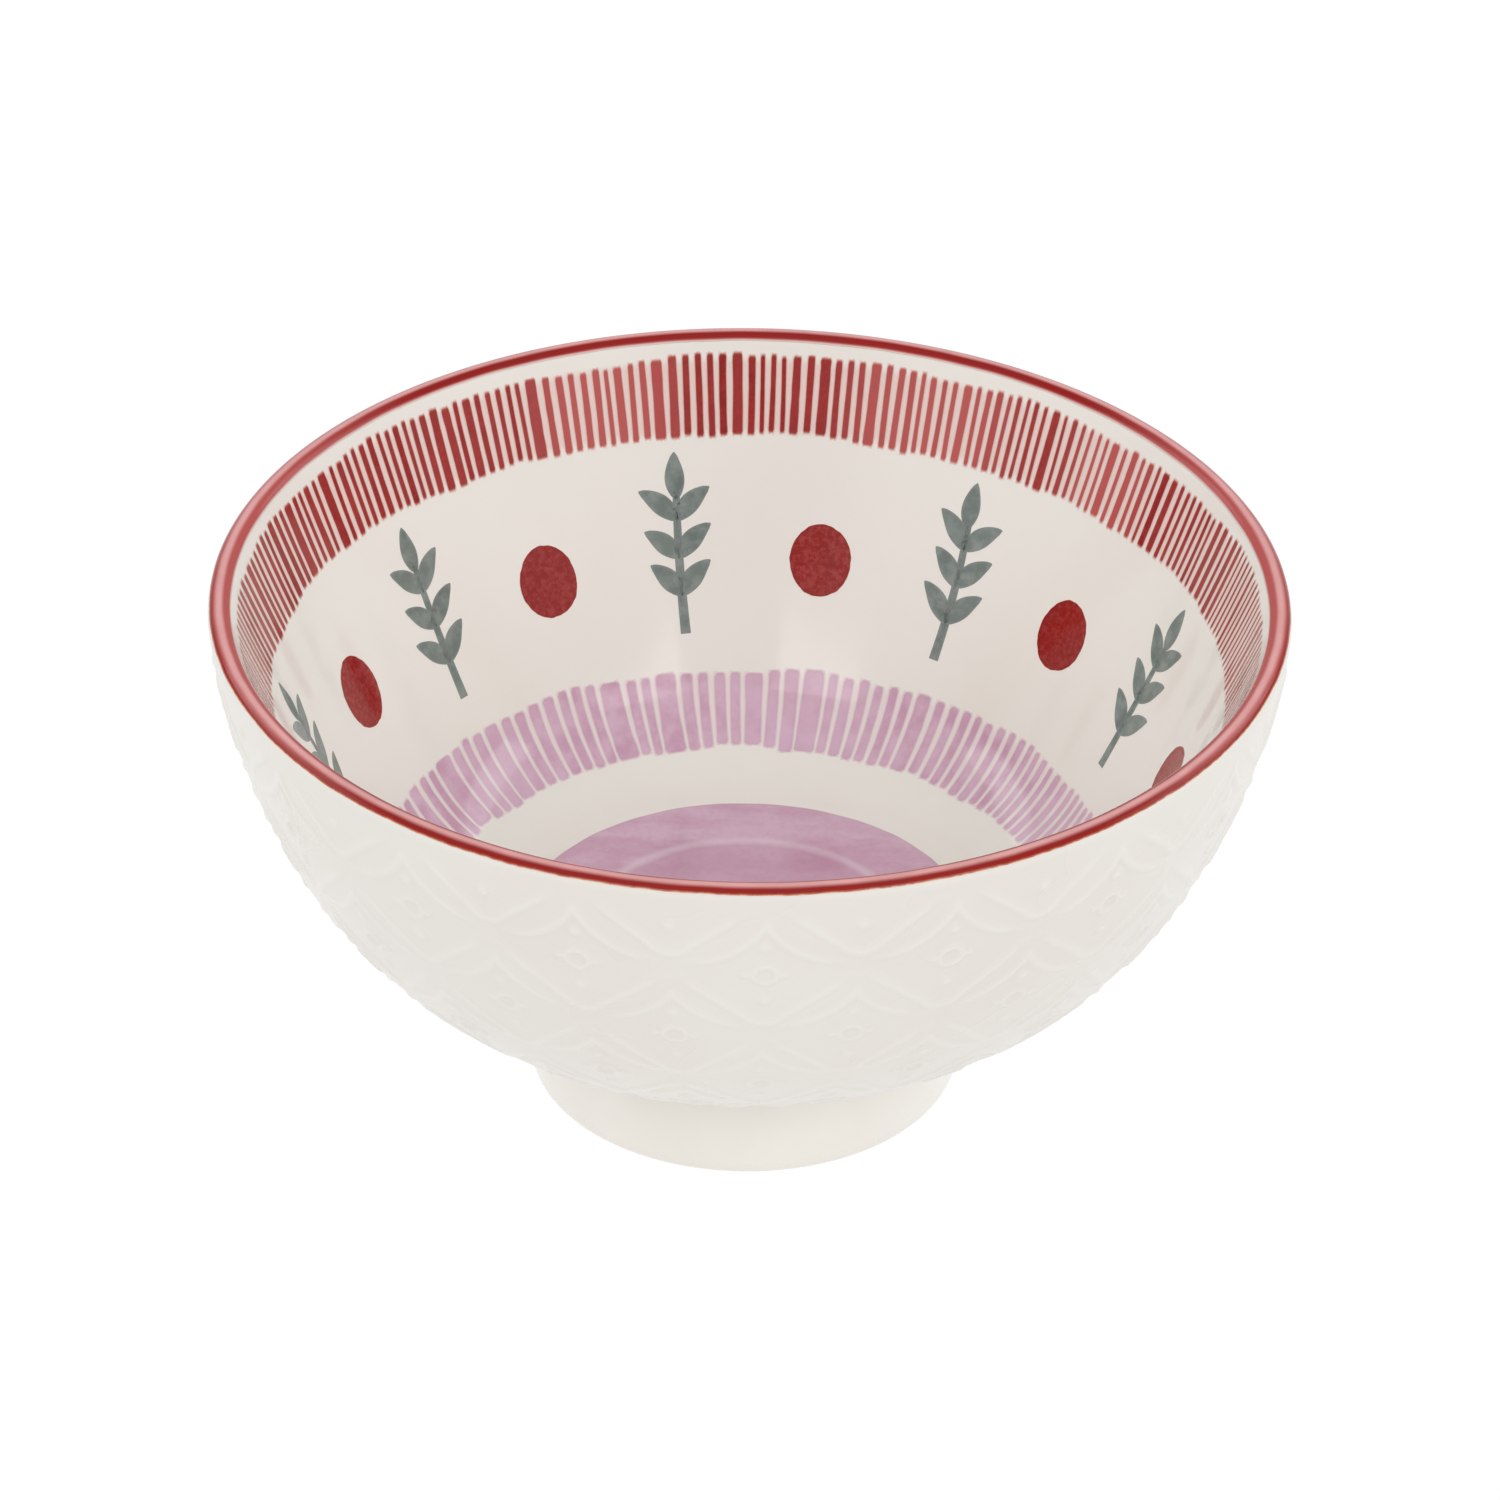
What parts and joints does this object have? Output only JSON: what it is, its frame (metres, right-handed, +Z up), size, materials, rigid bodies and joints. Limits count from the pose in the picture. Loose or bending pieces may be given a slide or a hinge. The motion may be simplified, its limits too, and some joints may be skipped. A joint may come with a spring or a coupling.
{
  "type": "stoneware bowl",
  "caption": "Footed stoneware bowl with a flaring wall, a moulded lattice in low relief outside, a coloured lip, and painted stripe bands, dots and sprigs inside.",
  "frame": {"origin": "middle of the flat ring that the foot rests on", "axes": "+Z up along the bowl's axis, -Y towards the viewer of the picture, +X to the viewer's right"},
  "size_m": [0.15, 0.15, 0.0775],
  "materials": {
    "glaze_white": "glossy cream-white glaze",
    "glaze_foot": "glossy pale cream glaze, bare on the resting ring",
    "lip_red": "glossy brick-red lip colour under glaze",
    "paint_red": "brick-red brush colour under glaze",
    "paint_lilac": "lilac brush colour under glaze",
    "paint_grey": "slate-grey brush colour under glaze"
  },
  "bodies": {
    "root": {"bowl_wall": "glaze_white", "foot_ring": "glaze_foot", "rim_band": "lip_red", "relief_course_1": "glaze_white", "relief_course_2": "glaze_white", "relief_course_3": "glaze_white", "relief_course_4": "glaze_white", "relief_course_5": "glaze_white", "upper_stripes": "paint_red", "lower_stripes": "paint_lilac", "floor_disc": "paint_lilac", "frieze_dots": "paint_red", "frieze_sprigs": "paint_grey"}
  },
  "joints": []
}
